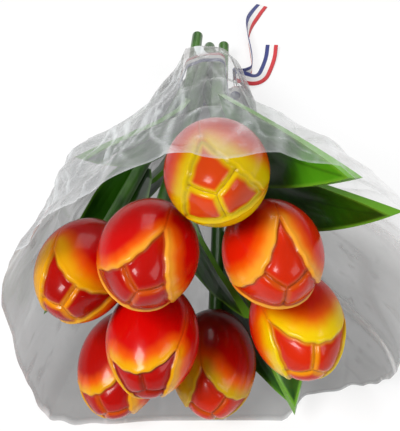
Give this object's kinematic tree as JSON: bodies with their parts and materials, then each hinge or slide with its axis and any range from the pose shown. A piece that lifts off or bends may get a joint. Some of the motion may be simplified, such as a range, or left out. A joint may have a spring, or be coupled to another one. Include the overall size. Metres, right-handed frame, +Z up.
{
  "type": "bunch of carved wooden tulips",
  "caption": "A bunch of carved, lacquered wooden tulips lying in a clear flower sleeve, tied at the stems with a striped ribbon; each tulip draws out along its stem.",
  "frame": {"origin": "on the table under the middle of the whole bunch's box, ribbon tails included", "axes": "+Z up from the table; the heads point along -Y and the stem ends and ribbon along +Y; +X to the right when the heads point at the viewer"},
  "size_m": [0.2066, 0.427, 0.22],
  "materials": {
    "head_1_lacquer": "glossy red, orange and yellow lacquer over carved wood",
    "head_2_lacquer": "glossy red, orange and yellow lacquer over carved wood",
    "head_3_lacquer": "glossy red, orange and yellow lacquer over carved wood",
    "head_4_lacquer": "glossy red, orange and yellow lacquer over carved wood",
    "head_5_lacquer": "glossy red, orange and yellow lacquer over carved wood",
    "head_6_lacquer": "glossy red, orange and yellow lacquer over carved wood",
    "head_7_lacquer": "glossy red, orange and yellow lacquer over carved wood",
    "head_8_lacquer": "glossy red, orange and yellow lacquer over carved wood",
    "stem_paint": "satin green paint over a turned dowel",
    "leaf_lacquer": "glossy dark green lacquer, paler cut edges",
    "film": "clear wrinkled film",
    "ribbon_red_white_blue": "woven ribbon striped blue, white and red"
  },
  "bodies": {
    "wrap": {"sleeve": "film", "ribbon_band": "ribbon_red_white_blue", "ribbon_knot": "ribbon_red_white_blue", "ribbon_tail_left": "ribbon_red_white_blue", "ribbon_tail_right": "ribbon_red_white_blue"},
    "tulip_1": {"tulip_1_head": "head_1_lacquer", "tulip_1_stem": "stem_paint", "tulip_1_leaf": "leaf_lacquer"},
    "tulip_2": {"tulip_2_head": "head_2_lacquer", "tulip_2_stem": "stem_paint", "tulip_2_leaf": "leaf_lacquer"},
    "tulip_3": {"tulip_3_head": "head_3_lacquer", "tulip_3_stem": "stem_paint", "tulip_3_leaf": "leaf_lacquer"},
    "tulip_4": {"tulip_4_head": "head_4_lacquer", "tulip_4_stem": "stem_paint", "tulip_4_leaf": "leaf_lacquer"},
    "tulip_5": {"tulip_5_head": "head_5_lacquer", "tulip_5_stem": "stem_paint", "tulip_5_leaf": "leaf_lacquer"},
    "tulip_6": {"tulip_6_head": "head_6_lacquer", "tulip_6_stem": "stem_paint", "tulip_6_leaf": "leaf_lacquer"},
    "tulip_7": {"tulip_7_head": "head_7_lacquer", "tulip_7_stem": "stem_paint", "tulip_7_leaf": "leaf_lacquer"},
    "tulip_8": {"tulip_8_head": "head_8_lacquer", "tulip_8_stem": "stem_paint", "tulip_8_leaf": "leaf_lacquer"}
  },
  "joints": [
    {"name": "tulip_1_draw", "type": "slide", "parent": "wrap", "child": "tulip_1", "axis": [-0.0208, -0.8871, 0.4611], "range_m": [0, 0.024]},
    {"name": "tulip_2_draw", "type": "slide", "parent": "wrap", "child": "tulip_2", "axis": [-0.1022, -0.9439, 0.3139], "range_m": [0, 0.024]},
    {"name": "tulip_3_draw", "type": "slide", "parent": "wrap", "child": "tulip_3", "axis": [0.1251, -0.9319, 0.3404], "range_m": [0, 0.024]},
    {"name": "tulip_4_draw", "type": "slide", "parent": "wrap", "child": "tulip_4", "axis": [-0.1949, -0.9381, 0.2865], "range_m": [0, 0.006]},
    {"name": "tulip_5_draw", "type": "slide", "parent": "wrap", "child": "tulip_5", "axis": [-0.1733, -0.9837, 0.0475], "range_m": [0, 0.024]},
    {"name": "tulip_6_draw", "type": "slide", "parent": "wrap", "child": "tulip_6", "axis": [-0.0721, -0.9915, 0.1084], "range_m": [0, 0.024]},
    {"name": "tulip_7_draw", "type": "slide", "parent": "wrap", "child": "tulip_7", "axis": [-0.0372, -0.9987, 0.0356], "range_m": [0, 0.024]},
    {"name": "tulip_8_draw", "type": "slide", "parent": "wrap", "child": "tulip_8", "axis": [0.1446, -0.9706, 0.1924], "range_m": [0, 0.024]}
  ]
}
